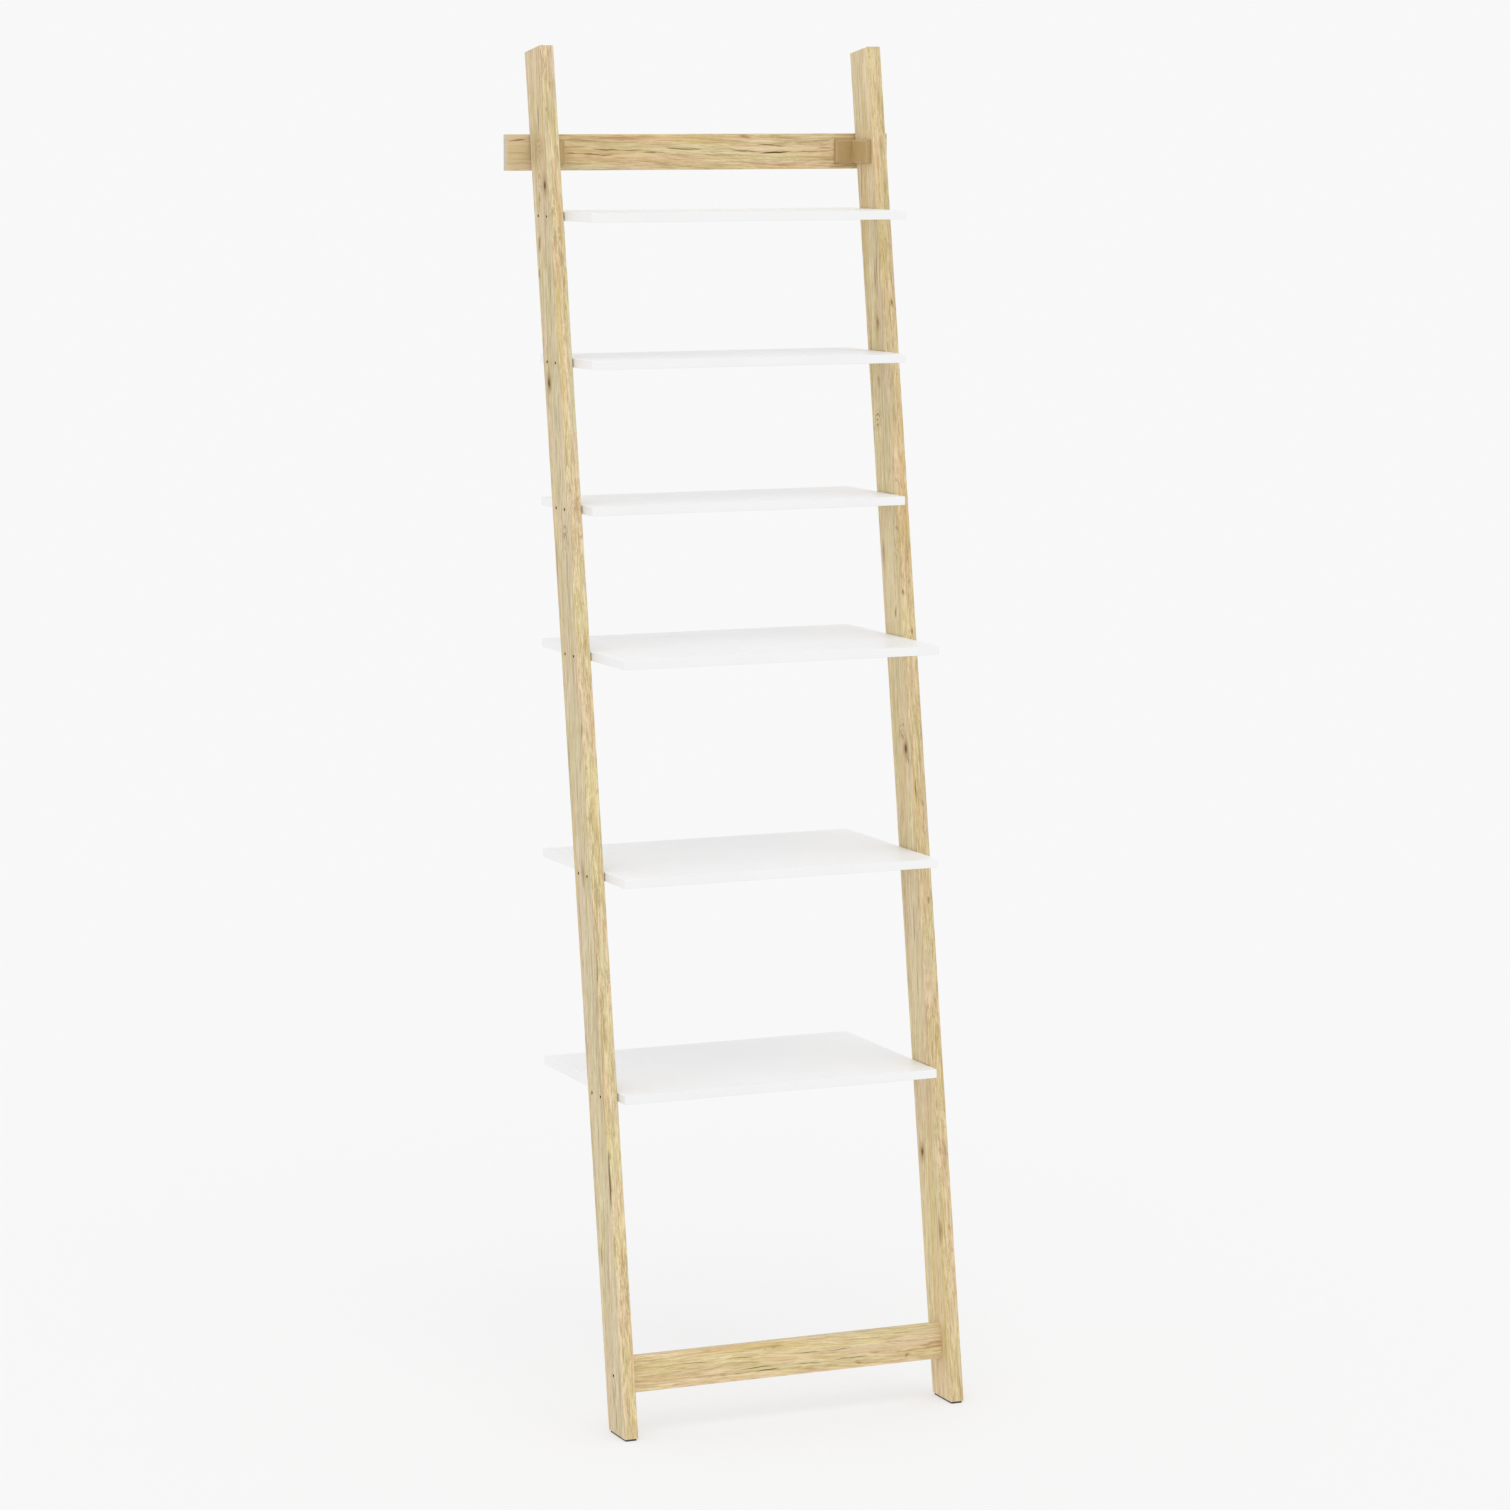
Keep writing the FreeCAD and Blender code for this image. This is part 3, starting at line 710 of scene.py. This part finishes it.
def lower_rail_marks():
    """Front face, with along to the right and across up."""
    return [
        Mark("stain", -0.170, -0.0060, 0.060, 0.0060, strength=0.30),
        Mark("stain", -0.207, 0.0170, 0.028, 0.0013, strength=0.7),
        Mark("stain", -0.028, 0.0170, 0.026, 0.0018, strength=0.9),
        Mark("stain", -0.110, -0.0140, 0.022, 0.0012, strength=0.8),
        Mark("stain", 0.030, -0.0190, 0.016, 0.0026, strength=0.6),
        Mark("stain", 0.130, -0.0062, 0.012, 0.0016, -0.10, 0.9),
        Mark("stain", 0.200, -0.0080, 0.045, 0.0014, 0.03, 0.9),
        Mark("stain", 0.222, -0.0025, 0.024, 0.0014, 0.15, 0.7),
        Mark("stain", 0.1075, -0.0180, 0.0060, 0.0020, -0.30, 0.9),
        Mark("knot", 0.110, -0.0190, 0.0020, 0.0008, strength=0.6),
        Mark("knot", 0.182, -0.0158, 0.0018, 0.0012, strength=0.8),
        Mark("split", -0.032, -0.0140, 0.024, 0.0010, 0.04, 0.9),
        Mark("crack", -0.080, -0.0150, 0.026, 0.0008, 0.02, 0.8),
        Mark("crack", -0.050, -0.0092, 0.034, 0.0008, 0.02, 0.85),
        Mark("crack", -0.140, 0.0070, 0.028, 0.0007, -0.02, 0.7),
        Mark("crack", -0.070, 0.0068, 0.026, 0.0007, -0.05, 0.7),
        Mark("crack", 0.028, -0.0115, 0.026, 0.0008, -0.05, 0.7),
        Mark("split", 0.098, -0.0102, 0.034, 0.0008, 0.04, 0.75),
        Mark("crack", 0.035, 0.0030, 0.018, 0.0007, -0.05, 0.7),
        Mark("crack", 0.082, 0.0032, 0.020, 0.0007, 0.08, 0.7),
        Mark("crack", 0.160, 0.0055, 0.024, 0.0007, -0.03, 0.7),
    ]


def dress_boards():
    stile = (STILE_HALF_WIDTH, STILE_HALF_THICKNESS)
    wall_rail = (RAIL_HALF_WIDTH, WALL_RAIL_HALF_THICKNESS)
    lower_rail = (RAIL_HALF_WIDTH, LOWER_RAIL_HALF_THICKNESS)
    left = Oak("left_stile", *stile, seed=3.1, slope=0.070, contrast=1.20, marks=left_stile_marks())
    dress("left_stile", left.finish(*LEFT_STILE_TONES))
    right = Oak("right_stile", *stile, seed=8.4, slope=0.070, contrast=1.0, marks=right_stile_marks())
    dress("right_stile", right.finish(*RIGHT_STILE_TONES))
    wall = Oak("wall_rail", *wall_rail, seed=5.7, slope=0.020, contrast=1.1, marks=wall_rail_marks())
    dress("wall_rail", wall.finish(*WALL_RAIL_TONES))
    lower = Oak("lower_rail", *lower_rail, seed=1.9, slope=0.025, contrast=0.9, marks=lower_rail_marks())
    dress("lower_rail", lower.finish(*LOWER_RAIL_TONES))


def dress_fittings():
    plastic, rubber, washer_gap_shade, dowel_wood = tan_plastic(), pad_rubber(), dark_nylon(), beech()
    for node in sorted(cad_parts):
        if node.startswith("shelf_"):
            dress(node, white_laminate(node, float(node[-1])))
        elif "cover" in node or "base" in node:
            dress(node, plastic)
        elif "screw" in node:
            dress(node, zinc_steel(node))
        elif "washers" in node:
            dress(node, washer_gap_shade)
        elif "dowels" in node:
            dress(node, dowel_wood)
        elif "foot_pad" in node:
            dress(node, rubber)


view_settings = bpy.context.scene.view_settings
view_settings.view_transform = "Standard"
make_camera()
make_sky()
make_floor()
make_sun("front_softbox", **SOFTBOX)
make_sun("left_fill", **LEFT_FILL)
dress_boards()
dress_fittings()
